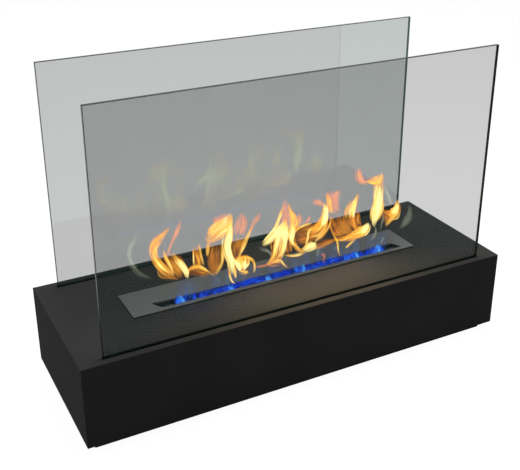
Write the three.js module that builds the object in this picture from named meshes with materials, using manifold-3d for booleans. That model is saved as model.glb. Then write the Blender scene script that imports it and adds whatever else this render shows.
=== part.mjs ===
// Free-standing bioethanol fireplace: a folded steel casing on a recessed plinth, two tempered panes
// that stand in channels under its top, and a stainless burner that lies in a cut-out between them.
// Millimetres, +Z up. X runs along the length and the front faces -Y. The origin is on the floor,
// under the middle of the casing.

import * as THREE from "three";
import { mergeVertices } from "three/addons/utils/BufferGeometryUtils.js";
import Module from "manifold-3d";

const wasm = await Module();
wasm.setup();

// ---------------------------------------------------------------- driving dimensions

const gap = 0.3; // left between pieces that touch

// Casing: four walls welded from one band of sheet, a top plate welded on them, and a flat frame
// welded in at their foot.
const casingLength = 1000;
const casingDepth = 350;
const casingHeight = 180;
const casingSheet = 2;
const bottomSheet = 2;

// Plinth: an angle frame set back under the casing, with a seat for a foot pad in each corner.
const plinthHeight = 20; // from the floor to the casing's lower edge
const plinthClearance = 0.5; // from the floor to the plinth's own lower edge
const plinthInset = 20;
const plinthSheet = 2;
const plinthFlange = 25;
const padSeat = 44;
const padRadius = 14;
const padHeight = 3;

// Screws that hold the plinth and the bottom plate to the foot frame.
const screwShank = 4;
const screwHead = 8;
const screwHeadHeight = 2.6;
const weldNutWidth = 8;
const weldNutHeight = 4;
const screwsPerLongSide = 3;

// Panes, and the channels that they stand in.
const paneEnd = 50; // from the casing's end to the pane's upright edge
const paneThickness = 8;
const paneAboveTop = 500;
const paneEmbed = 58; // depth of the lower edge under the casing's top
const paneInset = 20; // from the casing's outer face to the pane's middle plane
const paneArris = 0.8;
const paneSlotPlay = 1; // from the glass to each side of its slot in the top
const sealWall = 1.4;
const sealBase = 3;
const channelSheet = 1.5;
const channelFlange = 10;
const channelEnd = 4; // length of channel past each end of the pane
const crossMemberWidth = 30;
const crossMemberHeight = 25;
const crossMemberSheet = 2;
const crossMemberPlace = 0.22; // share of the way from the heat shield to the casing's end wall

// Burner: top plate with a long slot near its front edge, over the tank.
const burnerLength = 700;
const burnerDepth = 100;
const burnerSheet = 2;
const slotLip = 11; // from the plate's front edge to the slot
const slotWidth = 26;
const slotLeftEnd = 52; // from the plate's left end to the slot's rear left corner
const slotRightEnd = 42;
const slotSkew = 15; // how far the slot's front edge is set over to the right
const rimFront = 6; // how far the plate's long edges lap over the casing's top
const rimEnd = 8;
const cutoutPlay = 1.5; // from the tank to the edge of the cut-out
const gasketThickness = 0.8;
const gasketInset = 1;

// Tank, and what lies in it.
const tankSheet = 1.5;
const tankHeight = 58;
const railSheet = 1.5;
const railShelf = 12;
const railLeg = 8;
const coverSheet = 1;
const coverHoleLength = 32;
const coverHoleWidth = 7;
const coverBridge = 6; // metal left between holes

// Damper: a sheet under the top plate, with its front edge turned up into the slot.
const damperSheet = 1.5;
const damperPlay = 0.4;
const damperCover = 28; // reach behind the slot when it stands open
const damperLipRise = 2;
const damperLipSetback = 0.5; // from the lip to the slot's rear edge

// Heat shield: a tray round the tank, hung on studs under the casing's top.
const shieldAir = 8;
const shieldSheet = 1;
const shieldFlange = 16;
const studRadius = 2;
const studLength = 9;
const nutWidth = 7;
const nutHeight = 3.2;
const studsPerSide = 3;

const roundSides = 20;
const overcut = 1; // how far a cutting tool reaches past the face that it cuts

// ---------------------------------------------------------------- places that follow from them

const casingTop = plinthHeight + casingHeight;
const underTop = casingTop - casingSheet;
const innerLength = casingLength - 2 * casingSheet;
const innerDepth = casingDepth - 2 * casingSheet;
const plinthLength = casingLength - 2 * plinthInset;
const plinthDepth = casingDepth - 2 * plinthInset;
const wallHeight = casingHeight - casingSheet;
const frameZ = plinthHeight + bottomSheet + gap;
const frameWidth = plinthInset + plinthFlange - casingSheet;

const paneLength = casingLength - 2 * paneEnd;
const paneHeight = paneAboveTop + paneEmbed;
const paneZ = casingTop - paneEmbed;
const paneY = casingDepth / 2 - paneInset;
const channelInner = paneThickness + 4 * gap + 2 * sealWall;
const channelOuter = channelInner + 2 * channelSheet;
const channelLength = paneLength + 2 * channelEnd;
const sealZ = paneZ - gap - sealBase;
const channelZ = sealZ - gap - channelSheet;

const cutoutLength = burnerLength - 2 * rimEnd;
const cutoutDepth = burnerDepth - 2 * rimFront;
const plateZ = casingTop + gasketThickness + 2 * gap;
const tankLength = cutoutLength - 2 * cutoutPlay;
const tankDepth = cutoutDepth - 2 * cutoutPlay;
const tankInnerLength = tankLength - 2 * tankSheet;
const tankInnerDepth = tankDepth - 2 * tankSheet;
const tankZ = plateZ - gap - tankHeight;
const slotFront = -burnerDepth / 2 + slotLip;
const slotRear = slotFront + slotWidth;
const slotLeft = -burnerLength / 2 + slotLeftEnd;
const slotRight = burnerLength / 2 - slotRightEnd;

const damperZ = plateZ - damperPlay - damperSheet;
const railZ = damperZ - gap - railSheet;
const coverZ = railZ - railLeg - gap - coverSheet;
const woolZ = tankZ + tankSheet + gap;

const shieldInnerLength = cutoutLength + 2 * shieldAir;
const shieldInnerDepth = cutoutDepth + 2 * shieldAir;
const shieldTop = underTop - gap;
const shieldZ = tankZ - shieldAir - shieldSheet;
const shieldEnd = shieldInnerLength / 2 + shieldFlange;
const studY = shieldInnerDepth / 2 + shieldSheet + (shieldFlange - shieldSheet) / 2;
const crossMemberX = shieldEnd + crossMemberPlace * (innerLength / 2 - shieldEnd);

// ---------------------------------------------------------------- materials

function finish(color, roughness, metalness) {
  return new THREE.MeshStandardMaterial({ color, roughness, metalness });
}

const powderCoat = finish(0x1d1e1e, 0.6, 0.1);
const glass = new THREE.MeshStandardMaterial({
  color: 0xcfd6d3,
  roughness: 0.02,
  metalness: 0,
  transparent: true,
  opacity: 0.4,
});
const stainless = finish(0x8f908c, 0.35, 1);
const galvanised = finish(0xa2a5a6, 0.5, 1);
const zincPlate = finish(0xb4b6b6, 0.4, 1);
const rubber = finish(0x151515, 0.85, 0);
const gasketFibre = finish(0x2c2b29, 0.95, 0);
const ceramicWool = finish(0xe9e7e0, 1, 0);

// ---------------------------------------------------------------- shaping helpers

// A box centred on x and y, with its lowest face at z.
function box(length, depth, height, x = 0, y = 0, z = 0) {
  return new THREE.BoxGeometry(length, depth, height).translate(x, y, z + height / 2);
}

// An upright round or hexagonal bar, with its lowest face at z.
function bar(radius, height, x = 0, y = 0, z = 0, sides = roundSides) {
  return new THREE.CylinderGeometry(radius, radius, height, sides)
    .rotateX(Math.PI / 2)
    .translate(x, y, z + height / 2);
}

// A hexagonal bar, given by its width across the flats.
function hexBar(width, height, x = 0, y = 0, z = 0) {
  return bar(width / 2 / Math.cos(Math.PI / 6), height, x, y, z, 6);
}

function toManifold(geometry) {
  const bare = geometry.clone();
  bare.deleteAttribute("normal");
  bare.deleteAttribute("uv");
  const merged = mergeVertices(bare, 1e-4);
  return new wasm.Manifold(
    new wasm.Mesh({
      numProp: 3,
      vertProperties: Float32Array.from(merged.attributes.position.array),
      triVerts: Uint32Array.from(merged.index.array),
    }),
  );
}

function toGeometry(manifold) {
  const mesh = manifold.getMesh();
  const geometry = new THREE.BufferGeometry();
  geometry.setAttribute("position", new THREE.BufferAttribute(mesh.vertProperties, 3));
  geometry.setIndex(new THREE.BufferAttribute(mesh.triVerts, 1));
  geometry.computeVertexNormals();
  return geometry;
}

function join(first, ...others) {
  return toGeometry(others.reduce((sum, next) => sum.add(toManifold(next)), toManifold(first)));
}

function cut(body, ...tools) {
  return toGeometry(tools.reduce((rest, tool) => rest.subtract(toManifold(tool)), toManifold(body)));
}

// Round holes down through a sheet whose lowest face is at z.
function drill(places, radius, sheet, z = 0) {
  return places.map(([x, y]) => bar(radius, sheet + 2 * overcut, x, y, z - overcut));
}

// A flat outline of [x, y] points, raised to a height.
function plate(points, height, hole) {
  const shape = new THREE.Shape(points.map(([x, y]) => new THREE.Vector2(x, y)));
  if (hole) {
    shape.holes.push(new THREE.Path(hole.map(([x, y]) => new THREE.Vector2(x, y))));
  }
  return new THREE.ExtrudeGeometry(shape, { depth: height, bevelEnabled: false });
}

function rectangle(length, depth) {
  const [x, y] = [length / 2, depth / 2];
  return [[-x, -y], [x, -y], [x, y], [-x, y]];
}

// A flat ring with straight sides.
function ring(length, depth, innerRingLength, innerRingDepth, height) {
  return plate(rectangle(length, depth), height, rectangle(innerRingLength, innerRingDepth));
}

// A section of [y, z] points, drawn out along X about x = 0.
function profile(points, length) {
  return plate(points, length)
    .rotateX(Math.PI / 2)
    .rotateZ(Math.PI / 2)
    .translate(-length / 2, 0, 0);
}

// Evenly spread places about 0, with half a pitch left at each end of the span.
function spread(count, span) {
  return Array.from({ length: count }, (_, i) => ((i + 0.5) / count - 0.5) * span);
}

function part(name, geometry, material, [x, y, z]) {
  const mesh = new THREE.Mesh(geometry, material);
  mesh.name = name;
  mesh.position.set(x, y, z);
  return mesh;
}

// ---------------------------------------------------------------- fixings

const longSideScrewX = spread(screwsPerLongSide, plinthLength - 2 * plinthFlange);
const screwY = (plinthDepth - plinthFlange) / 2;
const screwEndX = (plinthLength - plinthFlange) / 2;
const screwPlaces = [
  ...longSideScrewX.flatMap((x) => [[x, -screwY], [x, screwY]]),
  [-screwEndX, 0],
  [screwEndX, 0],
];
const studPlaces = spread(studsPerSide, shieldInnerLength).flatMap((x) => [[x, -studY], [x, studY]]);

const screwHole = screwShank / 2 + gap;

// Pan-headed screws, put in from below.
function makeBottomScrews() {
  const headZ = plinthHeight - gap - plinthSheet - gap - screwHeadHeight;
  const shankTop = frameZ + casingSheet + weldNutHeight;
  return screwPlaces.map(([x, y], i) => {
    const geometry = join(
      bar(screwHead / 2, screwHeadHeight),
      bar(screwShank / 2, shankTop - headZ),
    );
    return part(`bottom_screw_${i + 1}`, geometry, zincPlate, [x, y, headZ]);
  });
}

// Studs welded under the casing's top, for the heat shield.
function makeShieldStuds() {
  return studPlaces.map(([x, y], i) => {
    const geometry = bar(studRadius, studLength, 0, 0, -studLength);
    return part(`shield_stud_${i + 1}`, geometry, zincPlate, [x, y, underTop - gap]);
  });
}

function makeShieldNuts() {
  const z = shieldTop - shieldSheet - gap - nutHeight;
  return studPlaces.map(([x, y], i) => {
    const geometry = cut(
      hexBar(nutWidth, nutHeight),
      ...drill([[0, 0]], studRadius + gap, nutHeight),
    );
    return part(`shield_nut_${i + 1}`, geometry, zincPlate, [x, y, z]);
  });
}

// ---------------------------------------------------------------- casing and plinth

// The four walls. Their upper edge is at the mesh's own zero, where the top plate's underside is.
function makeCasing() {
  const walls = ring(casingLength, casingDepth, innerLength, innerDepth, wallHeight);
  return part("casing", walls.translate(0, 0, -wallHeight), powderCoat, [0, 0, underTop]);
}

function makeTopPlate() {
  const cutHeight = casingSheet + 2 * overcut;
  const paneSlot = [paneLength + 2 * paneSlotPlay, paneThickness + 2 * paneSlotPlay, cutHeight];
  const geometry = cut(
    box(casingLength, casingDepth, casingSheet),
    box(cutoutLength, cutoutDepth, cutHeight, 0, 0, -overcut),
    box(...paneSlot, 0, -paneY, -overcut),
    box(...paneSlot, 0, paneY, -overcut),
  );
  return part("top_plate", geometry, powderCoat, [0, 0, underTop]);
}

// A flat frame with weld nuts, to which the bottom plate and the plinth are screwed.
function makeFootFrame() {
  const frame = ring(
    innerLength - 2 * gap,
    innerDepth - 2 * gap,
    innerLength - 2 * frameWidth,
    innerDepth - 2 * frameWidth,
    casingSheet,
  );
  const height = casingSheet + weldNutHeight;
  const weldNuts = screwPlaces.map(([x, y]) => hexBar(weldNutWidth, height, x, y));
  const geometry = cut(join(frame, ...weldNuts), ...drill(screwPlaces, screwHole, height));
  return part("foot_frame", geometry, powderCoat, [0, 0, frameZ]);
}

function makeBottomPlate() {
  const geometry = cut(
    box(innerLength - 2 * gap, innerDepth - 2 * gap, bottomSheet),
    ...drill(screwPlaces, screwHole, bottomSheet),
  );
  return part("bottom_plate", geometry, galvanised, [0, 0, plinthHeight]);
}

function makePlinth() {
  const height = plinthHeight - gap - plinthClearance;
  const wall = ring(
    plinthLength,
    plinthDepth,
    plinthLength - 2 * plinthSheet,
    plinthDepth - 2 * plinthSheet,
    height,
  );
  const flange = ring(
    plinthLength,
    plinthDepth,
    plinthLength - 2 * plinthFlange,
    plinthDepth - 2 * plinthFlange,
    plinthSheet,
  ).translate(0, 0, height - plinthSheet);
  const seatX = (plinthLength - padSeat) / 2;
  const seatY = (plinthDepth - padSeat) / 2;
  const seatZ = padHeight + gap - plinthClearance;
  const seats = [-1, 1].flatMap((sx) =>
    [-1, 1].map((sy) => box(padSeat, padSeat, plinthSheet, sx * seatX, sy * seatY, seatZ)),
  );
  const geometry = cut(
    join(wall, flange, ...seats),
    ...drill(screwPlaces, screwHole, plinthSheet, height - plinthSheet),
  );
  return part("plinth", geometry, powderCoat, [0, 0, plinthClearance]);
}

function makeFootPads() {
  const x = (plinthLength - padSeat) / 2;
  const y = (plinthDepth - padSeat) / 2;
  const corners = { front_left: [-x, -y], front_right: [x, -y], rear_left: [-x, y], rear_right: [x, y] };
  return Object.entries(corners).map(([corner, [px, py]]) =>
    part(`foot_pad_${corner}`, bar(padRadius, padHeight), rubber, [px, py, 0]),
  );
}

function makeCrossMember(side, direction) {
  const halfWidth = crossMemberWidth / 2;
  const inner = halfWidth - crossMemberSheet;
  const section = [
    [-halfWidth, 0],
    [-inner, 0],
    [-inner, crossMemberHeight - crossMemberSheet],
    [inner, crossMemberHeight - crossMemberSheet],
    [inner, 0],
    [halfWidth, 0],
    [halfWidth, crossMemberHeight],
    [-halfWidth, crossMemberHeight],
  ];
  const geometry = profile(section, innerDepth - 2 * gap).rotateZ(Math.PI / 2);
  const z = channelZ - gap - crossMemberHeight;
  return part(`cross_member_${side}`, geometry, galvanised, [direction * crossMemberX, 0, z]);
}

// ---------------------------------------------------------------- panes

// The channel's inner edge is turned over for welding under the top. inward is +1 where the middle
// of the casing lies towards +Y.
function makeChannel(side, y, inward) {
  const outer = channelOuter / 2;
  const inner = channelInner / 2;
  const height = underTop - gap - channelZ;
  const section = [
    [-outer, 0],
    [outer, 0],
    [outer, height - channelSheet],
    [outer + channelFlange, height - channelSheet],
    [outer + channelFlange, height],
    [inner, height],
    [inner, channelSheet],
    [-inner, channelSheet],
    [-inner, height],
    [-outer, height],
  ];
  const geometry = profile(section, channelLength);
  const mesh = part(`${side}_glass_channel`, geometry, galvanised, [0, y, channelZ]);
  mesh.rotation.z = inward > 0 ? 0 : Math.PI;
  return mesh;
}

function makeSeal(side, y) {
  const inner = paneThickness / 2 + gap;
  const outer = inner + sealWall;
  const height = underTop - gap - sealZ;
  const section = [
    [-outer, 0],
    [outer, 0],
    [outer, height],
    [inner, height],
    [inner, sealBase],
    [-inner, sealBase],
    [-inner, height],
    [-outer, height],
  ];
  return part(`${side}_glass_seal`, profile(section, channelLength), rubber, [0, y, sealZ]);
}

// A pane with ground arrises all round.
function makePane(side, y) {
  const [x0, z0] = [paneLength / 2 - paneArris, paneArris];
  const z1 = paneHeight - paneArris;
  const outline = [[-x0, z0], [x0, z0], [x0, z1], [-x0, z1]];
  const shape = new THREE.Shape(outline.map(([x, z]) => new THREE.Vector2(x, z)));
  const geometry = new THREE.ExtrudeGeometry(shape, {
    depth: paneThickness - 2 * paneArris,
    bevelThickness: paneArris,
    bevelSize: paneArris,
    bevelSegments: 1,
  });
  geometry.rotateX(Math.PI / 2).translate(0, paneThickness / 2 - paneArris, 0);
  return part(`${side}_glass`, geometry, glass, [0, y, paneZ]);
}

// ---------------------------------------------------------------- burner

function makeHeatShield() {
  const height = shieldTop - shieldZ;
  const wallLength = shieldInnerLength + 2 * shieldSheet;
  const wallDepth = shieldInnerDepth + 2 * shieldSheet;
  const flange = box(
    shieldInnerLength + 2 * shieldFlange,
    shieldInnerDepth + 2 * shieldFlange,
    shieldSheet,
    0,
    0,
    height - shieldSheet,
  );
  const geometry = cut(
    join(box(wallLength, wallDepth, height), flange),
    box(shieldInnerLength, shieldInnerDepth, height, 0, 0, shieldSheet),
    ...drill(studPlaces, studRadius + gap, shieldSheet, height - shieldSheet),
  );
  return part("heat_shield", geometry, galvanised, [0, 0, shieldZ]);
}

function makeGasket() {
  const geometry = ring(
    burnerLength - 2 * gasketInset,
    burnerDepth - 2 * gasketInset,
    cutoutLength + gap,
    cutoutDepth + gap,
    gasketThickness,
  );
  return part("burner_gasket", geometry, gasketFibre, [0, 0, casingTop + gap]);
}

function makeBurnerPlate() {
  const slot = [
    [slotLeft, slotRear],
    [slotLeft + slotSkew, slotFront],
    [slotRight + slotSkew, slotFront],
    [slotRight, slotRear],
  ];
  const geometry = plate(rectangle(burnerLength, burnerDepth), burnerSheet, slot);
  return part("burner_plate", geometry, stainless, [0, 0, plateZ]);
}

function makeTank() {
  const geometry = cut(
    box(tankLength, tankDepth, tankHeight),
    box(tankInnerLength, tankInnerDepth, tankHeight, 0, 0, tankSheet),
  );
  return part("fuel_tank", geometry, stainless, [0, 0, tankZ]);
}

function makeWool() {
  const geometry = box(tankInnerLength - 2 * gap, tankInnerDepth - 2 * gap, coverZ - gap - woolZ);
  return part("ceramic_wool", geometry, ceramicWool, [0, 0, woolZ]);
}

// The perforated sheet that holds the wool down.
function makeWoolCover() {
  const length = tankInnerLength - 2 * gap;
  const depth = tankInnerDepth - 2 * gap;
  const columns = Math.floor((length - coverBridge) / (coverHoleLength + coverBridge));
  const rows = Math.floor((depth - coverBridge) / (coverHoleWidth + coverBridge));
  const holes = spread(columns, columns * (coverHoleLength + coverBridge)).flatMap((x) =>
    spread(rows, rows * (coverHoleWidth + coverBridge)).map((y) =>
      box(coverHoleLength, coverHoleWidth, coverSheet + 2 * overcut, x, y, -overcut),
    ),
  );
  const geometry = cut(box(length, depth, coverSheet), ...holes);
  return part("wool_cover", geometry, stainless, [0, 0, coverZ]);
}

// An angle on the tank's end wall, whose shelf carries one end of the damper.
function makeRail(side, direction) {
  const wallX = tankInnerLength / 2 - gap;
  const depth = tankInnerDepth - 2 * gap;
  const geometry = join(
    box(railShelf, depth, railSheet, direction * (wallX - railShelf / 2), 0, railLeg),
    box(railSheet, depth, railLeg + railSheet, direction * (wallX - railSheet / 2)),
  );
  return part(`damper_rail_${side}`, geometry, stainless, [0, 0, railZ - railLeg]);
}

function makeDamper() {
  const length = tankInnerLength - 4 * gap;
  const lipY = slotRear - damperLipSetback - damperSheet / 2;
  const rearY = slotRear + damperCover;
  const frontY = lipY - damperSheet / 2;
  const lipLeft = slotLeft + slotSkew + 2 * gap;
  const lipRight = slotRight - 2 * gap;
  const geometry = join(
    box(length, rearY - frontY, damperSheet, 0, (rearY + frontY) / 2),
    box(lipRight - lipLeft, damperSheet, damperSheet + damperLipRise, (lipLeft + lipRight) / 2, lipY),
  );
  return part("damper", geometry, stainless, [0, 0, damperZ]);
}

// ---------------------------------------------------------------- assembly

const base = new THREE.Group();
base.add(makeCasing(), makeTopPlate(), makeFootFrame(), makeBottomPlate(), makePlinth());
base.add(...makeFootPads(), ...makeBottomScrews());
base.add(makeCrossMember("left", -1), makeCrossMember("right", 1));
base.add(makeChannel("front", -paneY, 1), makeChannel("rear", paneY, -1));
base.add(makeSeal("front", -paneY), makeSeal("rear", paneY));
base.add(makeHeatShield(), ...makeShieldStuds(), ...makeShieldNuts());

const panes = new THREE.Group();
panes.add(makePane("front", -paneY), makePane("rear", paneY));

const burner = new THREE.Group();
burner.add(makeGasket(), makeBurnerPlate(), makeTank(), makeWool(), makeWoolCover());
burner.add(makeRail("left", -1), makeRail("right", 1), makeDamper());

const fireplace = new THREE.Group();
fireplace.add(base, panes, burner);

export default fireplace;
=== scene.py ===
"""A bioethanol fireplace: the finishes of its steel, glass and burner, the wool in its tank, its flames,
and the floor, light and camera around it. Lengths are in metres, and those of the flames in millimetres."""

import math
import random
from collections import namedtuple

import bpy
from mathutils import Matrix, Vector, noise


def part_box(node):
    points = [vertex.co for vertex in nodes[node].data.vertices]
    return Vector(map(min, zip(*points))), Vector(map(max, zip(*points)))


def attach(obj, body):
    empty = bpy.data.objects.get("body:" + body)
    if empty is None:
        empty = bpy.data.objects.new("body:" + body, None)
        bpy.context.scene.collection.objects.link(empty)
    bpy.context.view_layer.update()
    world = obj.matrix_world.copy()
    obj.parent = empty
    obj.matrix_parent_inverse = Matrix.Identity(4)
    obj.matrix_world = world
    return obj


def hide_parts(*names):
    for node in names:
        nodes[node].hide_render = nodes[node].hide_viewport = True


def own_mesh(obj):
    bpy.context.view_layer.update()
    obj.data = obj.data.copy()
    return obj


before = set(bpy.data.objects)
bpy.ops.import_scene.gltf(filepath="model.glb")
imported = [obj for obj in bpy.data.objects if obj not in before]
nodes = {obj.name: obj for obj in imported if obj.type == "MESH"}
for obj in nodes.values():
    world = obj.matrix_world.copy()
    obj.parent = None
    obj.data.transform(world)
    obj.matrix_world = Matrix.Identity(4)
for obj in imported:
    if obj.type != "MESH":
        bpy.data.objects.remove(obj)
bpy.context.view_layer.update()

MM = 0.001

# ------------------------------------------------------------------ the photograph's camera and the light

PHOTO_WIDTH, PHOTO_HEIGHT = 520, 470
FOCAL_PIXELS = 878.5
PRINCIPAL_PIXEL = (264.5, 194.0)  # where the camera's axis meets the picture
CAMERA_PLACE = (-0.8306, -1.5363, 1.1458)
CAMERA_TURN = (66.552, 0.0, -27.721)  # degrees
SENSOR = 36.0

FLOOR_RADIUS = 9.0
FLOOR_COLOUR = (0.32, 0.32, 0.32)
FLOOR_GLOW = 0.96  # what the floor shows to the camera besides the light that falls on it
FLOOR_SHARE = 0.1  # how much of that light it shows
SKY_LIGHT = 0.3

# ------------------------------------------------------------------ finishes

POWDER_BLACK = (0.0330, 0.0335, 0.0335)
STEEL_GREY = (0.163, 0.165, 0.160)
DARK_STEEL = (0.11, 0.11, 0.108)
ZINC_GREY = (0.42, 0.43, 0.44)
BRIGHT_ZINC = (0.52, 0.53, 0.53)
RUBBER_BLACK = (0.012, 0.012, 0.012)
FIBRE_BLACK = (0.03, 0.029, 0.027)
WOOL_WHITE = (0.78, 0.76, 0.70)
GLASS_TINT = (0.0, 0.03, 0.022)
GLASS_EDGE = (0.006, 0.012, 0.010)
CLEAR_COVER = 0.25  # what each face of the front pane holds back
COATED_COVER = 0.46  # the same of the rear pane's inner face, which sends heat back into the room
BACK_COVER = 0.12  # and of its outer face
COAT_TINT = (0.65, 1.0, 0.90)  # of what the coating mirrors

# ------------------------------------------------------------------ flames

SLOT_MIDDLE = -26.0  # millimetres, from the front of the frame's middle plane
WOOL_TOP = 189.0
FLAME_LIGHT = 2.6
BLUE_LIGHT = 1.7
RING_POINTS = 12  # around a tongue
SPAN_STEPS = 6  # along it, between two of its stations
SWELL = 1.06  # of a tongue's width, since its rim is too clear to be seen
THINNEST = 0.4
SWAY = 2.5  # to the front and the rear, along a tongue's height
STREAK_NOISE = (0.34, 0.66)  # the range of the noise that makes the streaks

# How each kind of flame looks: the plane that it stands in, its heat at the tip, in the middle and at the
# rim, how much it hides, how much its streaks swing, how deep it is for its width, and its material.
Kind = namedtuple("Kind", "plane tip_heat heat rim_heat cover streaks depth material")
KINDS = {
    "veil": Kind(-19, 0.20, 0.34, 0.15, 0.13, 1.0, 0.30, "fire"),
    "body": Kind(-26, 0.15, 0.70, 0.12, 0.42, 0.9, 0.45, "fire"),
    "core": Kind(-31, 0.45, 1.35, 0.20, 0.74, 0.5, 0.45, "fire"),
    "strand": Kind(-29, 0.30, 0.90, 0.25, 0.50, 0.4, 0.60, "fire"),
    "pink": Kind(-23, 0.15, 0.50, 0.20, 0.20, 0.8, 0.40, "wisp"),
    "ghost": Kind(-21, 0.50, 0.50, 0.30, 0.06, 0.6, 0.35, "ghost"),
}
# How many fine filaments run inside a tongue of each kind, and how much more heat they have.
FILAMENTS = {"veil": (4, 0.15), "body": (4, 0.25), "core": (3, 0.05), "pink": (3, 0.15)}

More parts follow.
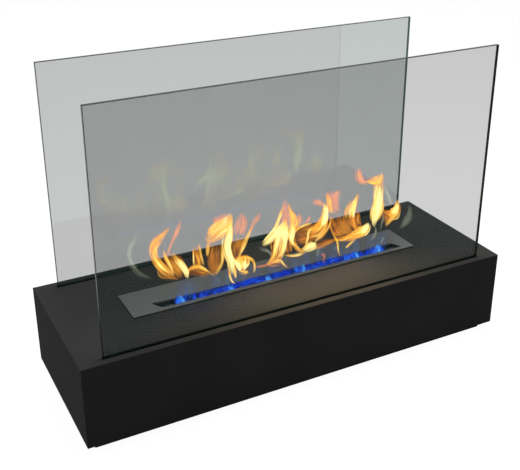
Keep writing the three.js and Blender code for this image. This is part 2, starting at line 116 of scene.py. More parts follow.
# Each tongue's line, as x, z and half its width in millimetres, by the flame that it belongs to.
FLAMES = {
    "outer_left": [
        ("ghost", [(-311, 382, 2.5), (-329, 362, 8), (-340, 344, 7), (-342, 327, 5), (-335, 305, 7),
                   (-319, 280, 6), (-296, 265, 2)]),
    ],
    "left": [
        ("body", [(-253, 376, 2), (-265, 363, 7), (-283, 349, 11), (-291, 333, 10), (-289, 314, 9),
                  (-279, 296, 10), (-266, 279, 8), (-249, 262, 2)]),
        ("pink", [(-226, 385, 1.5), (-235, 366, 6), (-247, 346, 4), (-258, 326, 2.5), (-264, 311, 2.5)]),
        ("veil", [(-262, 318, 6), (-258, 301, 19), (-250, 283, 29), (-239, 266, 19), (-229, 251, 8)]),
        ("strand", [(-270, 329, 2), (-266, 310, 4), (-258, 290, 4), (-252, 269, 1.5)]),
        ("core", [(-253, 322, 2), (-243, 303, 5), (-232, 287, 6), (-224, 270, 5), (-222, 253, 2)]),
    ],
    "low": [
        ("body", [(-220, 257, 4), (-214, 269, 5), (-201, 272, 5), (-188, 267, 4), (-174, 255, 3),
                  (-158, 239, 1.5)]),
        ("veil", [(-213, 255, 5), (-199, 257, 8), (-181, 250, 7), (-167, 241, 2)]),
        ("veil", [(-195, 316, 6), (-194, 297, 9), (-191, 278, 10), (-187, 263, 7)]),
        ("strand", [(-194, 328, 1.5), (-191, 313, 3), (-188, 296, 3), (-182, 271, 3)]),
        ("strand", [(-206, 319, 2), (-206, 300, 2), (-205, 276, 2)]),
    ],
    "flag": [
        ("body", [(-177, 338, 2), (-168, 333, 14), (-156, 338, 20), (-142, 346, 22), (-128, 355, 18),
                  (-118, 370, 8), (-116, 378, 1.5)]),
        ("strand", [(-169, 326, 5), (-172, 313, 5), (-174, 302, 4), (-176, 293, 2.5)]),
        ("pink", [(-154, 376, 2), (-147, 365, 9), (-136, 367, 10), (-122, 376, 4)]),
        ("veil", [(-153, 314, 16), (-155, 290, 16), (-155, 266, 15), (-154, 247, 9), (-153, 235, 2.5)]),
        ("strand", [(-142, 315, 3), (-138, 293, 4), (-139, 272, 4), (-147, 257, 4), (-157, 245, 3)]),
        ("core", [(-122, 375, 3), (-121, 361, 6), (-122, 342, 7), (-126, 325, 10), (-129, 306, 10),
                  (-125, 286, 10), (-119, 268, 10), (-118, 251, 9), (-117, 236, 6)]),
        ("strand", [(-124, 252, 4), (-124, 235, 3), (-118, 218, 2), (-110, 211, 1)]),
        ("strand", [(-113, 254, 5), (-110, 236, 4), (-108, 222, 2)]),
    ],
    "curl": [
        ("veil", [(-113, 262, 6), (-104, 257, 11), (-92, 252, 13), (-80, 250, 11), (-72, 249, 5)]),
        ("body", [(-88, 275, 6), (-92, 263, 15), (-93, 251, 17), (-97, 239, 8)]),
        ("core", [(-112, 272, 2), (-107, 261, 5), (-101, 250, 6), (-99, 240, 2)]),
        ("core", [(-84, 268, 1), (-88, 256, 4), (-86, 248, 4), (-90, 238, 1)]),
        ("body", [(-101, 244, 5), (-89, 234, 4), (-77, 231, 2.5)]),
        ("strand", [(-110, 265, 4), (-98, 269, 4), (-83, 267, 4), (-70, 259, 4), (-64, 248, 3),
                    (-64, 234, 3), (-68, 225, 2)]),
        ("veil", [(-95, 314, 17), (-96, 298, 16), (-99, 282, 12), (-100, 268, 7)]),
        ("pink", [(-94, 375, 2.5), (-91, 355, 14), (-94, 337, 17), (-97, 319, 15)]),
        ("pink", [(-45, 362, 1.5), (-51, 349, 6), (-61, 339, 5), (-70, 325, 3)]),
        ("strand", [(-64, 345, 3), (-73, 331, 4), (-82, 313, 5), (-88, 296, 5), (-96, 279, 3),
                    (-103, 268, 2)]),
        ("pink", [(-61, 235, 1.5), (-46, 233, 1.5), (-29, 232, 1.5), (-14, 235, 1.5)]),
    ],
    "middle": [
        ("pink", [(15, 385, 1.5), (16, 368, 6), (16, 349, 10), (15, 332, 14), (13, 318, 10)]),
        ("strand", [(8, 377, 2), (2, 359, 4), (-4, 341, 4), (-9, 326, 5), (-15, 313, 5)]),
        ("body", [(22, 373, 2), (28, 352, 5), (36, 331, 10), (35, 315, 11), (28, 302, 10)]),
        ("body", [(43, 337, 2), (46, 324, 4), (40, 311, 6), (31, 301, 6)]),
        ("core", [(14, 338, 2), (6, 325, 8), (-7, 313, 11), (-21, 303, 10), (-35, 295, 7), (-46, 288, 1.5)]),
        ("core", [(9, 336, 2), (5, 321, 8), (-1, 305, 10), (-6, 289, 8), (-10, 272, 6), (-15, 256, 3)]),
        ("core", [(15, 333, 3), (13, 317, 9), (11, 301, 9), (9, 283, 6), (6, 264, 5), (1, 249, 3)]),
        ("core", [(31, 327, 2), (29, 312, 8), (26, 298, 9), (27, 284, 6), (32, 270, 3)]),
        ("body", [(-8, 295, 9), (-10, 279, 8), (-11, 264, 6), (-16, 250, 5), (-24, 240, 3),
                  (-33, 236, 1.5)]),
        ("body", [(9, 291, 8), (9, 274, 7), (6, 258, 6), (1, 247, 6), (-6, 238, 6)]),
        ("veil", [(4, 289, 13), (3, 268, 13), (1, 248, 11), (-4, 232, 5)]),
        ("strand", [(-35, 238, 2), (-22, 241, 4), (-10, 242, 5), (0, 240, 3), (9, 228, 3),
                    (20, 217, 1.5)]),
        ("veil", [(-29, 231, 3), (-14, 229, 6), (-2, 228, 7), (8, 221, 2.5)]),
        ("body", [(28, 299, 10), (32, 281, 7), (40, 265, 5), (50, 251, 4), (61, 245, 3)]),
        ("veil", [(26, 282, 7), (27, 262, 9), (31, 246, 6)]),
        ("core", [(52, 249, 3), (63, 253, 7), (75, 256, 10), (86, 258, 9), (92, 262, 2.5)]),
        ("strand", [(10, 252, 2), (26, 246, 3), (43, 244, 4), (61, 246, 4)]),
        ("ghost", [(95, 249, 5), (102, 235, 5), (99, 220, 2)]),
        ("ghost", [(-53, 284, 1.5), (-40, 274, 5), (-28, 267, 4), (-19, 256, 2.5), (-25, 253, 1.5)]),
    ],
    "hump": [
        ("veil", [(38, 282, 5), (51, 284, 21), (66, 283, 27), (79, 282, 26), (92, 284, 19),
                  (100, 287, 8)]),
        ("strand", [(35, 299, 3), (47, 308, 3), (62, 312, 3), (80, 313, 2)]),
        ("pink", [(50, 342, 1), (54, 329, 3), (58, 316, 4)]),
        ("pink", [(78, 330, 2.5), (73, 322, 4), (68, 313, 3)]),
    ],
    "twist": [
        ("pink", [(81, 359, 2), (90, 360, 7), (101, 356, 8), (111, 348, 6)]),
        ("core", [(107, 357, 2), (113, 344, 6), (113, 329, 7), (110, 315, 8), (104, 302, 4)]),
        ("body", [(112, 344, 4), (114, 324, 11), (107, 309, 13), (95, 296, 12), (83, 287, 7)]),
        ("strand", [(96, 310, 3), (83, 300, 4), (74, 293, 4), (71, 278, 3), (67, 267, 3), (64, 253, 2)]),
        ("strand", [(119, 320, 2), (117, 303, 3), (107, 288, 3), (92, 280, 3), (76, 282, 2)]),
        ("veil", [(120, 315, 9), (110, 295, 23), (100, 277, 23), (93, 262, 14)]),
        ("strand", [(128, 325, 2), (130, 307, 3), (124, 291, 3), (112, 280, 4), (98, 270, 3),
                    (86, 260, 2.5)]),
        ("veil", [(70, 249, 4), (91, 247, 8), (114, 246, 11), (135, 249, 9), (160, 249, 4)]),
        ("strand", [(131, 282, 2), (139, 269, 3), (148, 253, 3), (152, 237, 2.5), (154, 224, 2),
                    (160, 209, 1.5)]),
        ("ghost", [(140, 232, 1.5), (148, 232, 3), (156, 230, 2)]),
        ("pink", [(106, 225, 2), (112, 227, 2.5), (117, 220, 3), (116, 209, 2.5), (117, 199, 1.5)]),
    ],
    "banner": [
        ("pink", [(134, 377, 9), (134, 358, 11), (140, 340, 13), (148, 321, 12)]),
        ("pink", [(155, 376, 3), (146, 363, 8), (148, 343, 8)]),
        ("body", [(120, 379, 2.5), (126, 358, 6), (129, 341, 6), (132, 323, 3)]),
        ("veil", [(138, 314, 6), (140, 297, 10), (146, 277, 10), (158, 263, 6), (172, 256, 2)]),
        ("veil", [(153, 315, 6), (155, 297, 10), (162, 277, 10), (174, 263, 6), (190, 257, 2)]),
        ("veil", [(169, 316, 6), (171, 298, 10), (178, 279, 10), (190, 265, 6), (206, 260, 2)]),
        ("veil", [(186, 318, 6), (188, 300, 10), (195, 282, 9), (206, 270, 6), (219, 266, 2)]),
        ("veil", [(203, 314, 5), (205, 297, 8), (210, 282, 6), (219, 273, 2)]),
        ("strand", [(137, 261, 2), (158, 253, 3), (175, 253, 3), (194, 255, 3)]),
        ("body", [(201, 363, 1.5), (195, 347, 6), (189, 333, 11), (183, 320, 14), (182, 302, 11)]),
        ("core", [(197, 356, 1.5), (192, 337, 5), (189, 320, 5), (189, 303, 3)]),
        ("veil", [(195, 307, 12), (200, 285, 9), (204, 264, 4)]),
        ("body", [(147, 259, 2.5), (163, 255, 5), (182, 254, 8), (198, 257, 11), (214, 261, 15),
                  (226, 267, 12), (233, 279, 2.5)]),
        ("core", [(206, 257, 3), (216, 264, 10), (224, 272, 9), (229, 283, 2)]),
        ("strand", [(199, 248, 1.5), (186, 242, 3), (174, 234, 3), (170, 231, 1)]),
    ],
    "tall": [
        ("pink", [(207, 420, 2), (204, 410, 6), (208, 394, 9), (218, 382, 7), (229, 376, 3)]),
        ("body", [(219, 385, 5), (232, 384, 8), (246, 380, 12), (257, 380, 17), (263, 389, 9),
                  (264, 398, 1.5)]),
        ("core", [(252, 382, 9), (254, 366, 14), (254, 347, 14), (253, 327, 13), (251, 310, 13),
                  (248, 293, 11), (246, 280, 7), (247, 267, 3)]),
        ("strand", [(246, 340, 3), (242, 321, 5), (239, 304, 6), (240, 283, 3)]),
        ("strand", [(270, 335, 2), (268, 315, 5), (264, 299, 5), (257, 282, 4)]),
        ("ghost", [(252, 270, 2.5), (260, 254, 3), (260, 241, 5), (253, 232, 5), (242, 225, 2.5)]),
        ("ghost", [(278, 363, 3), (286, 341, 6), (295, 322, 6), (299, 306, 3)]),
    ],
    "end": [
        ("body", [(270, 302, 2.5), (285, 293, 7), (297, 287, 11), (306, 287, 16), (313, 299, 11),
                  (314, 315, 4), (314, 321, 1.5)]),
        ("core", [(290, 295, 3), (301, 294, 9), (308, 301, 8), (311, 315, 3)]),
        ("strand", [(311, 286, 4), (297, 274, 5), (282, 260, 3)]),
        ("veil", [(281, 293, 4), (292, 278, 11), (289, 261, 5)]),
        ("ghost", [(277, 298, 1.5), (277, 277, 2.5), (275, 259, 2.5), (275, 244, 1.5)]),
        ("ghost", [(285, 231, 1.5), (282, 221, 3), (275, 210, 1.5)]),
    ],
    "outer_right": [
        ("ghost", [(351, 300, 2), (354, 281, 7), (350, 266, 13), (340, 254, 10), (326, 239, 3)]),
    ],
}

BLUE_COUNT = 52
HAZE_COUNT = 16
BLUE_RUN = (-248.0, 284.0)  # millimetres along the slot
BRIGHT_SPOTS = (-235.0, -199.0, -127.0, -27.0, 56.0, 104.0, 175.0, 209.0, 258.0)
BRIGHT_REACH = 16.0
BED_STEPS = 60
GLOW_PLANE = -28.0
GLOW_BEHIND = 0.15  # the share of their light that the glow strips send to the rear

# ------------------------------------------------------------------ other sizes, in millimetres

PLATE_EDGE = 0.5
WOOL_EDGE = 2.0
WOOL_CELLS = (220, 28, 8)  # along X, Y and Z
WOOL_SWELLS = 90.0  # to the metre
NOISE_ROUGHNESS = 0.55

# ------------------------------------------------------------------ node helpers


def link(tree, source, target):
    tree.links.new(source, target)


def feed(tree, value, socket):
    """Gives a socket another node's output or a plain value."""
    if isinstance(value, bpy.types.NodeSocket):
        link(tree, value, socket)
    else:
        socket.default_value = value


def add(tree, kind, **settings):
    node = tree.nodes.new(kind)
    for name, value in settings.items():
        setattr(node, name, value)
    return node


def maths(tree, operation, first, second, clamp=False):
    node = add(tree, "ShaderNodeMath", operation=operation, use_clamp=clamp)
    feed(tree, first, node.inputs[0])
    feed(tree, second, node.inputs[1])
    return node.outputs[0]


def between(tree, value, low, high, start=0.0, end=1.0):
    """Spreads a value that runs from start to end over the range from low to high."""
    node = add(tree, "ShaderNodeMapRange")
    link(tree, value, node.inputs["Value"])
    for name, number in (("From Min", start), ("From Max", end), ("To Min", low), ("To Max", high)):
        node.inputs[name].default_value = number
    return node.outputs["Result"]


def shades(tree, value, *stops):
    """Colours along a value: each stop is a place from 0 to 1 and a colour."""
    node = add(tree, "ShaderNodeValToRGB")
    ramp = node.color_ramp
    while len(ramp.elements) < len(stops):
        ramp.elements.new(1.0)
    for element, (place, colour) in zip(ramp.elements, stops):
        element.position = place
        element.color = (*colour, 1.0)
    link(tree, value, node.inputs["Fac"])
    return node.outputs["Color"]


def noise_at(tree, vector, scale, detail):
    node = add(tree, "ShaderNodeTexNoise")
    link(tree, vector, node.inputs["Vector"])
    feed(tree, scale, node.inputs["Scale"])
    node.inputs["Detail"].default_value = detail
    node.inputs["Roughness"].default_value = NOISE_ROUGHNESS
    return node.outputs["Fac"]


def new_group(name, inputs, outputs):
    tree = bpy.data.node_groups.new(name, "ShaderNodeTree")
    for label, kind, value in inputs:
        socket = tree.interface.new_socket(label, in_out="INPUT", socket_type=kind)
        socket.default_value = value
    for label, kind in outputs:
        tree.interface.new_socket(label, in_out="OUTPUT", socket_type=kind)
    return tree, add(tree, "NodeGroupInput").outputs, add(tree, "NodeGroupOutput").inputs


def use_group(tree, group, **values):
    node = add(tree, "ShaderNodeGroup", node_tree=group)
    for name, value in values.items():
        node.inputs[name].default_value = value
    return node.outputs


# ------------------------------------------------------------------ effects that several finishes share


def make_drawn_grain():
    """Fine lines along X, as brushing or rolling leaves them."""
    tree, given, out = new_group(
        "drawn_grain",
        [("Length", "NodeSocketFloat", 14.0), ("Fineness", "NodeSocketFloat", 1400.0)],
        [("Tone", "NodeSocketFloat"), ("Height", "NodeSocketFloat")],
    )
    place = add(tree, "ShaderNodeTexCoord").outputs["Object"]
    across = add(tree, "ShaderNodeCombineXYZ")
    link(tree, given["Length"], across.inputs["X"])
    link(tree, given["Fineness"], across.inputs["Y"])
    link(tree, given["Fineness"], across.inputs["Z"])
    stretched = add(tree, "ShaderNodeVectorMath", operation="MULTIPLY")
    link(tree, place, stretched.inputs[0])
    link(tree, across.outputs[0], stretched.inputs[1])
    fine = noise_at(tree, stretched.outputs[0], 1.0, detail=2.0)
    broad = noise_at(tree, place, 9.0, detail=2.0)
    mixed = maths(tree, "ADD", maths(tree, "MULTIPLY", fine, 0.7), maths(tree, "MULTIPLY", broad, 0.3))
    link(tree, mixed, out["Tone"])
    link(tree, fine, out["Height"])
    return tree


def make_speckle():
    """A fine even grain with slow clouds over it, as powder coat, rubber and fibre have."""
    tree, given, out = new_group(
        "speckle",
        [("Fineness", "NodeSocketFloat", 900.0), ("Clouds", "NodeSocketFloat", 6.0)],
        [("Tone", "NodeSocketFloat"), ("Height", "NodeSocketFloat")],
    )
    place = add(tree, "ShaderNodeTexCoord").outputs["Object"]
    fine = noise_at(tree, place, given["Fineness"], detail=2.0)
    broad = noise_at(tree, place, given["Clouds"], detail=3.0)
    mixed = maths(tree, "ADD", maths(tree, "MULTIPLY", fine, 0.4), maths(tree, "MULTIPLY", broad, 0.6))
    link(tree, mixed, out["Tone"])
    link(tree, fine, out["Height"])
    return tree


def make_flow():
    """Fine filaments along a flame, from the attributes that its mesh carries."""
    tree, given, out = new_group(
        "flame_flow",
        [("Contrast", "NodeSocketFloat", 0.5)],
        [("Heat", "NodeSocketFloat"), ("Cover", "NodeSocketFloat")],
    )
    flow = add(tree, "ShaderNodeAttribute", attribute_name="flow").outputs["Vector"]
    swing = add(tree, "ShaderNodeAttribute", attribute_name="streaks").outputs["Fac"]
    heat = add(tree, "ShaderNodeAttribute", attribute_name="glow").outputs["Fac"]
    cover = add(tree, "ShaderNodeAttribute", attribute_name="cover").outputs["Fac"]
    streak = between(tree, noise_at(tree, flow, 1.0, detail=2.5), -1.0, 1.0, *STREAK_NOISE)
    strong = maths(tree, "MULTIPLY", streak, swing)
    link(tree, maths(tree, "ADD", heat, maths(tree, "MULTIPLY", strong, given["Contrast"]), clamp=True),
         out["Heat"])
    link(tree, maths(tree, "MULTIPLY", cover, maths(tree, "ADD", strong, 1.0), clamp=True), out["Cover"])
    return tree


drawn_grain = make_drawn_grain()
speckle = make_speckle()
flame_flow = make_flow()

# ------------------------------------------------------------------ materials


def new_material(name, colour, roughness, metallic=0.0, specular=0.5):
    material = bpy.data.materials.new(name)
    material.use_nodes = True
    material.diffuse_color = (*colour, 1.0)
    shader = material.node_tree.nodes["Principled BSDF"]
    shader.inputs["Base Color"].default_value = (*colour, 1.0)
    shader.inputs["Roughness"].default_value = roughness
    shader.inputs["Metallic"].default_value = metallic
    shader.inputs["Specular IOR Level"].default_value = specular
    return material, material.node_tree, shader


def bare_material(name):
    """A material without the surface shader, for the floor and for light itself."""
    material = bpy.data.materials.new(name)
    material.use_nodes = True
    tree = material.node_tree
    tree.nodes.remove(tree.nodes["Principled BSDF"])
    return material, tree, tree.nodes["Material Output"].inputs["Surface"]


def scaled(colour, factor):
    return tuple(channel * factor for channel in colour)


def bump(tree, shader, height, strength, distance):
    node = add(tree, "ShaderNodeBump")
    node.inputs["Strength"].default_value = strength
    node.inputs["Distance"].default_value = distance
    link(tree, height, node.inputs["Height"])
    link(tree, node.outputs["Normal"], shader.inputs["Normal"])


def tone_and_roughness(tree, shader, tone, colour, swing, roughness):
    low, high = (0.25, scaled(colour, 1 - swing)), (0.75, scaled(colour, 1 + swing))
    link(tree, shades(tree, tone, low, high), shader.inputs["Base Color"])
    link(tree, between(tree, tone, *roughness), shader.inputs["Roughness"])


def powder_coat():
    material, tree, shader = new_material("powder_coat_black", POWDER_BLACK, 0.6, specular=0.004)
    grain = use_group(tree, speckle, Fineness=850.0, Clouds=5.0)
    tone_and_roughness(tree, shader, grain["Tone"], POWDER_BLACK, 0.22, (0.58, 0.74))
    bump(tree, shader, grain["Height"], 0.03, 0.0001)
    return material


def brushed(name, colour, roughness):
    material, tree, shader = new_material(name, colour, roughness[0], metallic=1.0)
    grain = use_group(tree, drawn_grain, Length=12.0, Fineness=1500.0)
    tone_and_roughness(tree, shader, grain["Tone"], colour, 0.14, roughness)
    bump(tree, shader, grain["Height"], 0.16, 0.00012)
    return material


def galvanised():
    """Zinc spangle: flakes of a few millimetres that each catch the light a little differently."""
    material, tree, shader = new_material("hot_dip_zinc", ZINC_GREY, 0.45, metallic=1.0)
    flakes = add(tree, "ShaderNodeTexVoronoi")
    flakes.inputs["Scale"].default_value = 110.0
    flakes.inputs["Randomness"].default_value = 1.0
    link(tree, add(tree, "ShaderNodeTexCoord").outputs["Object"], flakes.inputs["Vector"])
    shade = add(tree, "ShaderNodeSeparateColor")
    link(tree, flakes.outputs["Color"], shade.inputs["Color"])
    grain = use_group(tree, speckle, Fineness=500.0, Clouds=12.0)
    mixed = maths(tree, "ADD", maths(tree, "MULTIPLY", shade.outputs[0], 0.5),
                  maths(tree, "MULTIPLY", grain["Tone"], 0.5))
    tone_and_roughness(tree, shader, mixed, ZINC_GREY, 0.2, (0.34, 0.56))
    bump(tree, shader, grain["Height"], 0.1, 0.0002)
    return material


def zinc_plate():
    material, tree, shader = new_material("bright_zinc", BRIGHT_ZINC, 0.3, metallic=1.0)
    grain = use_group(tree, speckle, Fineness=1200.0, Clouds=90.0)
    tone_and_roughness(tree, shader, grain["Tone"], BRIGHT_ZINC, 0.12, (0.24, 0.4))
    bump(tree, shader, grain["Height"], 0.08, 0.0001)
    return material


def rubber(name, fineness):
    material, tree, shader = new_material(name, RUBBER_BLACK, 0.8, specular=0.3)
    grain = use_group(tree, speckle, Fineness=fineness, Clouds=30.0)
    tone_and_roughness(tree, shader, grain["Tone"], RUBBER_BLACK, 0.3, (0.7, 0.9))
    bump(tree, shader, grain["Height"], 0.25, 0.0003)
    return material


def woven_fibre():
    """Glass-fibre gasket: two crossing bands of yarn."""
    material, tree, shader = new_material("gasket_weave", FIBRE_BLACK, 0.9, specular=0.2)
    place = add(tree, "ShaderNodeTexCoord").outputs["Object"]
    yarns = []
    for direction in ("X", "Y"):
        wave = add(tree, "ShaderNodeTexWave", bands_direction=direction)
        wave.inputs["Scale"].default_value = 260.0
        wave.inputs["Distortion"].default_value = 0.6
        link(tree, place, wave.inputs["Vector"])
        yarns.append(wave.outputs["Fac"])
    weave = maths(tree, "MAXIMUM", *yarns)
    tone_and_roughness(tree, shader, weave, FIBRE_BLACK, 0.35, (0.8, 0.98))
    bump(tree, shader, weave, 0.5, 0.0003)
    return material


def ceramic_fibre():
    material, tree, shader = new_material("ceramic_fibre", WOOL_WHITE, 0.95, specular=0.1)
    grain = use_group(tree, speckle, Fineness=420.0, Clouds=60.0)
    tone_and_roughness(tree, shader, grain["Tone"], WOOL_WHITE, 0.16, (0.88, 1.0))
    bump(tree, shader, grain["Height"], 0.8, 0.0012)
    return material


def clear_glass(name, index, cover, specular=0.2, sheen=(1.0, 1.0, 1.0)):
    """A pane's face. Alpha holds back the light, so that the pane is clear from both sides."""
    material, tree, shader = new_material(name, GLASS_TINT, 0.02, specular=specular)
    shader.inputs["IOR"].default_value = index
    shader.inputs["Alpha"].default_value = cover
    shader.inputs["Specular Tint"].default_value = (*sheen, 1.0)
    grain = use_group(tree, speckle, Fineness=40.0, Clouds=7.0)
    link(tree, between(tree, grain["Tone"], 0.0, 0.012), shader.inputs["Roughness"])
    material.surface_render_method = "BLENDED"
    return material


def glass_edge():
    """The ground and polished edge, dark with the depth of the pane."""
    material, tree, shader = new_material("pane_edge", GLASS_EDGE, 0.2, specular=0.12)
    grain = use_group(tree, drawn_grain, Length=200.0, Fineness=500.0)
    tone_and_roughness(tree, shader, grain["Tone"], GLASS_EDGE, 0.3, (0.16, 0.3))
    return material


def flame(name, strength, contrast, *stops):
    """Burning gas: it shines and hides what is behind it, and sends back no light."""
    material, tree, shader = new_material(name, (0.0, 0.0, 0.0), 1.0, specular=0.0)
    flow = use_group(tree, flame_flow, Contrast=contrast)
    link(tree, shades(tree, flow["Heat"], *stops), shader.inputs["Emission Color"])
    shader.inputs["Emission Strength"].default_value = strength
    link(tree, flow["Cover"], shader.inputs["Alpha"])
    material.surface_render_method = "BLENDED"
    material.cycles.emission_sampling = "NONE"  # the two glow strips light the steel, with less noise
    return material


FLAME_MATERIALS = {
    "fire": flame(
        "flame_yellow", FLAME_LIGHT, 0.30,
        (0.0, (0.9, 0.16, 0.008)), (0.4, (1.0, 0.34, 0.02)), (0.75, (1.0, 0.56, 0.07)),
        (1.0, (1.0, 0.86, 0.32)),
    ),
    "wisp": flame(
        "flame_rose", FLAME_LIGHT, 0.30,
        (0.0, (1.0, 0.16, 0.06)), (0.5, (1.0, 0.30, 0.11)), (1.0, (1.0, 0.48, 0.16)),
    ),
    "ghost": flame(
        "flame_pale", FLAME_LIGHT, 0.30,
        (0.0, (0.45, 0.50, 0.36)), (0.5, (0.75, 0.85, 0.58)), (1.0, (1.0, 1.0, 0.75)),
    ),
    "blue": flame(
        "flame_blue", BLUE_LIGHT, 0.45,
        (0.0, (0.0, 0.0, 0.02)), (0.3, (0.003, 0.012, 0.22)), (0.6, (0.008, 0.045, 0.72)),
        (0.85, (0.03, 0.22, 1.0)), (1.0, (0.12, 0.52, 1.0)),
    ),
}

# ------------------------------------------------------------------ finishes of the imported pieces


def dress(names, material):
    for name in names:
        mesh = nodes[name].data
        mesh.materials.clear()
        mesh.materials.append(material)


def numbered(stem, count):
    return [f"{stem}_{i + 1}" for i in range(count)]


def dress_pane(name, front_face, rear_face, edge):
    """Gives a pane's two large faces their glass, and its rim and arrises the ground edge."""
    mesh = nodes[name].data
    mesh.materials.clear()
    for material in (edge, front_face, rear_face):
        mesh.materials.append(material)
    for face in mesh.polygons:
        face.material_index = 1 if face.normal.y < -0.99 else 2 if face.normal.y > 0.99 else 0


def soften_edges(name, width):
    """A small bevel that catches the light on a piece's edges."""
    edge = nodes[name].modifiers.new("soft_edges", "BEVEL")
    edge.width = width
    edge.segments = 2
    edge.limit_method = "ANGLE"


stainless = brushed("brushed_stainless", STEEL_GREY, (0.30, 0.44))
dress(["casing", "top_plate", "foot_frame", "plinth"], powder_coat())
dress(["bottom_plate", "cross_member_left", "cross_member_right", "front_glass_channel",
       "rear_glass_channel", "heat_shield"], galvanised())
dress(numbered("bottom_screw", 8) + numbered("shield_stud", 6) + numbered("shield_nut", 6), zinc_plate())
dress([f"foot_pad_{end}_{side}" for end in ("front", "rear") for side in ("left", "right")],
      rubber("pad_rubber", 500.0))
dress(["front_glass_seal", "rear_glass_seal"], rubber("seal_rubber", 900.0))
dress(["burner_gasket"], woven_fibre())
dress(["burner_plate", "damper"], stainless)
dress(["fuel_tank", "wool_cover", "damper_rail_left", "damper_rail_right"],
      brushed("sooted_stainless", DARK_STEEL, (0.36, 0.55)))

clear = clear_glass("pane_clear", 1.45, CLEAR_COVER)
coated = clear_glass("pane_heat_coat", 2.5, COATED_COVER, 0.5, COAT_TINT)
back = clear_glass("pane_back", 1.45, BACK_COVER)
ground = glass_edge()
soften_edges("burner_plate", PLATE_EDGE * MM)
dress_pane("front_glass", clear, clear, ground)
dress_pane("rear_glass", coated, back, ground)

# ------------------------------------------------------------------ pieces made here


def new_object(name, vertices, faces, materials, smooth=True):
    mesh = bpy.data.meshes.new(name)
    mesh.from_pydata(vertices, [], faces)
    for material in materials:
        mesh.materials.append(material)
    if smooth:
        mesh.shade_smooth()
    thing = bpy.data.objects.new(name, mesh)
    bpy.context.scene.collection.objects.link(thing)
    return thing


def make_wool():
    """A blanket of ceramic fibre: soft edges, and a surface that swells a little between the bridges."""
    low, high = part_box("ceramic_wool")
    size = high - low
    along, across, up = WOOL_CELLS
    points, index, faces = [], {}, []

    def point(i, j, k):
        if (i, j, k) not in index:
            place = Vector((low.x + size.x * i / along, low.y + size.y * j / across,
                            low.z + size.z * k / up))
            inset = WOOL_EDGE * MM * (0.5 + 0.5 * noise.noise(place * WOOL_SWELLS))
            middle = (low + high) / 2
            for axis in range(3):
                reach = size[axis] / 2 - inset
                place[axis] = middle[axis] + max(-reach, min(reach, place[axis] - middle[axis]))
            index[i, j, k] = len(points)
            points.append(place)
        return index[i, j, k]

    def skin(count_a, count_b, corner):
        for a in range(count_a):
            for b in range(count_b):
                faces.append([corner(a, b), corner(a + 1, b), corner(a + 1, b + 1), corner(a, b + 1)])

    skin(across, along, lambda a, b: point(b, a, 0))
    skin(along, across, lambda a, b: point(a, b, up))
    skin(along, up, lambda a, b: point(a, 0, b))
    skin(up, along, lambda a, b: point(b, across, a))
    skin(up, across, lambda a, b: point(0, b, a))
    skin(across, up, lambda a, b: point(along, a, b))
    wool = new_object("wool_blanket", points, faces, [ceramic_fibre()])
    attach(wool, "burner")
    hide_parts("ceramic_wool")


def smooth_line(stations):
    """Points along a smooth curve through the stations."""
    line = []
    for i in range(len(stations) - 1):
        p0, p1, p2, p3 = (Vector(stations[max(0, min(len(stations) - 1, i + k))]) for k in (-1, 0, 1, 2))
        for step in range(SPAN_STEPS):
            t = step / SPAN_STEPS
            line.append(0.5 * (2 * p1 + (p2 - p0) * t + (2 * p0 - 5 * p1 + 4 * p2 - p3) * t ** 2
                               + (3 * p1 - p0 - 3 * p2 + p3) * t ** 3))
    return line + [Vector(stations[-1])]


def heading(line, i):
    """Which way a line runs at one of its points, in x and z."""
    before, after = line[max(0, i - 1)], line[min(len(line) - 1, i + 1)]
    return Vector((after[0] - before[0], after[1] - before[1])).normalized()


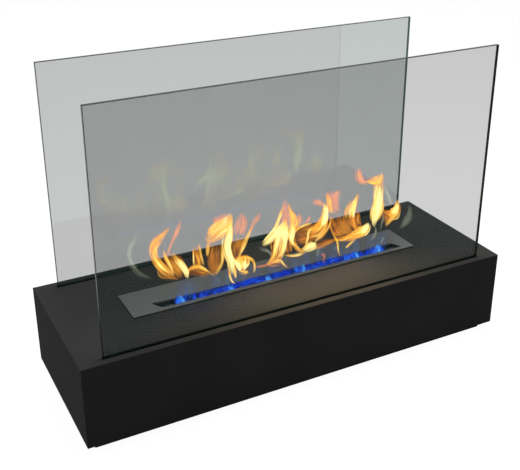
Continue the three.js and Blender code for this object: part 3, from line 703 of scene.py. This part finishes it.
class FlameMesh:
    """Tongues of flame gathered into one mesh, with the attributes that their materials read."""

    def __init__(self):
        self.vertices, self.faces, self.slots = [], [], []
        self.heat, self.cover, self.streaks, self.flow = [], [], [], []

    def tongue(self, stations, kind, slot):
        """A tongue with its tip at the first station, as rings of points along its line."""
        line = smooth_line(stations)
        seed = stations[0][0] * 0.37 + stations[0][1] * 0.11
        run, first = 0.0, len(self.vertices)
        for i, (x, z, half) in enumerate(line):
            share = i / (len(line) - 1)
            along = heading(line, i)
            half = max(half * SWELL, THINNEST)
            fade = min(1.0, 3.0 * share, 3.5 * (1.0 - share))
            sway = SWAY * math.sin(seed + z * 0.045)
            run += (line[i] - line[i - 1]).length if i else 0.0
            for k in range(RING_POINTS):
                turn = 2 * math.pi * k / RING_POINTS
                side, deep = math.cos(turn), math.sin(turn)
                self.vertices.append((
                    (x - along.y * half * side) * MM,
                    (kind.plane + sway + half * kind.depth * deep) * MM,
                    (z + along.x * half * side) * MM,
                ))
                rim = side * side
                middle = kind.heat + (kind.tip_heat - kind.heat) * max(0.0, 1.0 - 2.2 * share) ** 1.5
                self.heat.append(middle + (kind.rim_heat - middle) * rim)
                self.cover.append(kind.cover * (1 - rim) ** 1.3 * fade)
                self.streaks.append(kind.streaks)
                self.flow.append((side * half * 0.22, run * 0.025, seed))
        self.close(first, len(line), slot)

    def close(self, first, rings, slot):
        """Faces around the rings, and a cap on each end."""
        n = RING_POINTS
        for i in range(rings - 1):
            for k in range(n):
                a, b = first + i * n + k, first + i * n + (k + 1) % n
                self.faces.append((a, b, b + n, a + n))
        self.faces.append(tuple(first + k for k in reversed(range(n))))
        self.faces.append(tuple(first + (rings - 1) * n + k for k in range(n)))
        self.slots += [slot] * (len(self.faces) - len(self.slots))

    def build(self, name, materials):
        thing = new_object(name, self.vertices, self.faces, materials)
        mesh = thing.data
        mesh.polygons.foreach_set("material_index", self.slots)
        for label, values in (("glow", self.heat), ("cover", self.cover), ("streaks", self.streaks)):
            mesh.attributes.new(label, "FLOAT", "POINT").data.foreach_set("value", values)
        flat = [number for vector in self.flow for number in vector]
        mesh.attributes.new("flow", "FLOAT_VECTOR", "POINT").data.foreach_set("vector", flat)
        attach(thing, "burner")
        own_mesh(thing)


def filament(stations, side, spread, thickness):
    """A thin line beside a tongue's own, that leaves it a little further towards its tip."""
    line = []
    for i, (x, z, half) in enumerate(stations):
        tip = 1.0 - i / (len(stations) - 1)
        along = heading(stations, i)
        shift = Vector((-along.y, along.x)) * side * (half + 1.5) * (0.75 + spread * tip)
        line.append((x + shift.x, z + shift.y, max(0.6, half * thickness)))
    return line


def make_flames():
    """The yellow flames, each a mesh of its own, with fine filaments inside the broader tongues."""
    chance = random.Random(4)
    order = ["fire", "wisp", "ghost"]
    materials = [FLAME_MATERIALS[name] for name in order]
    for name, tongues in FLAMES.items():
        flame_mesh = FlameMesh()
        for kind_name, stations in tongues:
            kind = KINDS[kind_name]
            slot = order.index(kind.material)
            flame_mesh.tongue(stations, kind, slot)
            count, hotter = FILAMENTS.get(kind_name, (0, 0.0))
            for i in range(count):
                side = (i + 0.5 + chance.uniform(-0.5, 0.5)) / count * 2.0 - 1.0
                thread = kind._replace(
                    plane=kind.plane + chance.uniform(-4.0, 4.0),
                    heat=kind.heat + hotter * chance.uniform(-0.4, 1.0),
                    cover=kind.cover * chance.uniform(0.3, 1.2),
                )
                line = filament(stations, side, chance.uniform(0.0, 0.7), chance.uniform(0.16, 0.30))
                cut = chance.choice((0, 0, 1)) if len(line) > 4 else 0
                flame_mesh.tongue(line[cut:], thread, slot)
        flame_mesh.build(f"flame_{name}", materials)


def make_blue_flames():
    """The row of small blue flames over the wool, from which the yellow ones rise."""
    chance = random.Random(11)
    row = FlameMesh()
    start, end = BLUE_RUN
    pitch = (end - start) / BLUE_COUNT
    for i in range(BLUE_COUNT):
        x = start + (i + 0.5 + chance.uniform(-0.3, 0.3)) * pitch
        near = min(abs(x - spot) for spot in BRIGHT_SPOTS)
        heat = 0.40 + 0.50 * max(0.0, 1.0 - near / BRIGHT_REACH) + chance.uniform(-0.15, 0.1)
        top = WOOL_TOP + chance.uniform(16.0, 24.0) + 14.0 * max(0.0, heat - 0.4)
        half = chance.uniform(5.0, 10.0)
        lean = chance.uniform(-6.0, 6.0)
        kind = Kind(SLOT_MIDDLE + chance.uniform(-8.0, 6.0), heat, heat, heat - 0.15, 0.60, 0.8, 0.5, "blue")
        middle = (WOOL_TOP + top) / 2
        row.tongue(
            [(x + lean, top, 1.0), (x + lean / 2, middle + 3.0, half * 0.8), (x, middle - 4.0, half),
             (x, WOOL_TOP + 1.0, half * 0.8)],
            kind, 0,
        )
    for i in range(HAZE_COUNT):
        x = start + (i + 0.5 + chance.uniform(-0.4, 0.4)) * (end - start) / HAZE_COUNT
        haze = Kind(SLOT_MIDDLE + chance.uniform(-5.0, 5.0), 0.6, 0.75, 0.6, 0.04, 0.8, 0.4, "blue")
        row.tongue([(x + chance.uniform(-12.0, 12.0), 250.0, 6.0), (x, 232.0, 14.0), (x, 215.0, 18.0),
                    (x, WOOL_TOP + 4.0, 14.0)], haze, 0)
    bed = Kind(SLOT_MIDDLE + 3.0, 0.36, 0.36, 0.25, 0.85, 1.0, 0.8, "blue")
    row.tongue(
        [(start - 4.0 + (end - start + 8.0) * i / BED_STEPS, WOOL_TOP + 11.0 + chance.uniform(-2.5, 2.5),
          7.0 + chance.uniform(-2.0, 2.0)) for i in range(BED_STEPS + 1)],
        bed, 0,
    )
    row.build("flame_row", [FLAME_MATERIALS["blue"]])


# ------------------------------------------------------------------ floor, light and camera


def seen_mask(tree):
    """1 where a ray comes from the camera, from glossy metal or through glass."""
    path = add(tree, "ShaderNodeLightPath").outputs
    direct = maths(tree, "MAXIMUM", path["Is Camera Ray"], path["Is Glossy Ray"])
    return maths(tree, "MAXIMUM", direct, path["Is Transmission Ray"])


def make_floor():
    """A pale floor that shows white, and under the object its soft shadow."""
    rim = [(FLOOR_RADIUS * math.cos(math.radians(a)), FLOOR_RADIUS * math.sin(math.radians(a)), 0.0)
           for a in range(0, 360, 6)]
    material, tree, surface = bare_material("floor_white")
    seen = seen_mask(tree)
    shown = add(tree, "ShaderNodeBsdfDiffuse")
    shown.inputs["Color"].default_value = (FLOOR_SHARE, FLOOR_SHARE, FLOOR_SHARE, 1.0)
    glow = add(tree, "ShaderNodeEmission")
    glow.inputs["Strength"].default_value = FLOOR_GLOW
    white = add(tree, "ShaderNodeAddShader")
    link(tree, shown.outputs[0], white.inputs[0])
    link(tree, glow.outputs[0], white.inputs[1])
    pale = add(tree, "ShaderNodeBsdfDiffuse")
    pale.inputs["Color"].default_value = (*FLOOR_COLOUR, 1.0)
    choice = add(tree, "ShaderNodeMixShader")
    link(tree, seen, choice.inputs[0])
    link(tree, pale.outputs[0], choice.inputs[1])
    link(tree, white.outputs[0], choice.inputs[2])
    link(tree, choice.outputs[0], surface)
    new_object("floor", rim, [tuple(range(len(rim)))], [material], smooth=False)


def make_world():
    """A white surround to look at, which lights the object only softly."""
    world = bpy.data.worlds.new("studio")
    bpy.context.scene.world = world
    world.use_nodes = True
    tree = world.node_tree
    strength = between(tree, seen_mask(tree), SKY_LIGHT, 1.0)
    link(tree, strength, tree.nodes["Background"].inputs["Strength"])
    tree.nodes["Background"].inputs["Color"].default_value = (1.0, 1.0, 1.0, 1.0)


def softbox(name, place, aim, size, power):
    """A studio lamp with a rectangular cloth, turned to the point that it is aimed at."""
    lamp = bpy.data.lights.new(name, "AREA")
    lamp.shape = "RECTANGLE"
    lamp.size, lamp.size_y = size
    lamp.energy = power
    box = bpy.data.objects.new(name, lamp)
    box.location = place
    box.rotation_euler = (Vector(aim) - Vector(place)).to_track_quat("-Z", "Y").to_euler()
    bpy.context.scene.collection.objects.link(box)


def make_glow(name, low_left, high_right, colour, strength):
    """Light that the flames throw on the steel, from an upright strip in their midst that goes with them."""
    material, tree, surface = bare_material(name)
    light = add(tree, "ShaderNodeEmission")
    light.inputs["Color"].default_value = (*colour, 1.0)
    away = add(tree, "ShaderNodeNewGeometry").outputs["Backfacing"]
    link(tree, between(tree, away, strength, strength * GLOW_BEHIND), light.inputs["Strength"])
    link(tree, light.outputs[0], surface)
    (x0, z0), (x1, z1) = low_left, high_right
    corners = [(x * MM, GLOW_PLANE * MM, z * MM) for x, z in ((x0, z0), (x1, z0), (x1, z1), (x0, z1))]
    strip = new_object(name, corners, [(0, 1, 2, 3)], [material], smooth=False)
    strip.visible_camera = False
    strip.visible_shadow = False
    strip.visible_glossy = False
    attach(strip, "burner")
    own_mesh(strip)


def make_camera():
    """The camera at the place and angle that the photograph was solved for."""
    data = bpy.data.cameras.new("photo_camera")
    data.sensor_fit = "HORIZONTAL"
    data.sensor_width = SENSOR
    data.lens = SENSOR * FOCAL_PIXELS / PHOTO_WIDTH
    data.shift_x = (PHOTO_WIDTH / 2 - PRINCIPAL_PIXEL[0]) / PHOTO_WIDTH
    data.shift_y = (PRINCIPAL_PIXEL[1] - PHOTO_HEIGHT / 2) / PHOTO_WIDTH
    data.clip_end = 100.0
    camera = bpy.data.objects.new("photo_camera", data)
    camera.location = CAMERA_PLACE
    camera.rotation_euler = [math.radians(angle) for angle in CAMERA_TURN]
    bpy.context.scene.collection.objects.link(camera)
    bpy.context.scene.camera = camera


make_wool()
make_flames()
make_blue_flames()
make_floor()
make_world()
softbox("softbox_over", (0.5, 0.45, 2.3), (0.0, 0.0, 0.2), (2.4, 1.6), 72.0)
softbox("softbox_left", (-2.2, 0.35, 1.0), (-0.5, 0.0, 0.1), (1.2, 1.2), 6.0)
make_glow("yellow_glow", (-140.0, 255.0), (240.0, 375.0), (1.0, 0.68, 0.30), 26.0)
make_glow("blue_glow", (-250.0, 205.0), (285.0, 216.0), (0.05, 0.08, 1.0), 26.0)
make_camera()

scene = bpy.context.scene
scene.view_settings.view_transform = "Standard"
scene.cycles.transparent_max_bounces = 48  # through both panes and all the flames between them

bpy.context.view_layer.update()
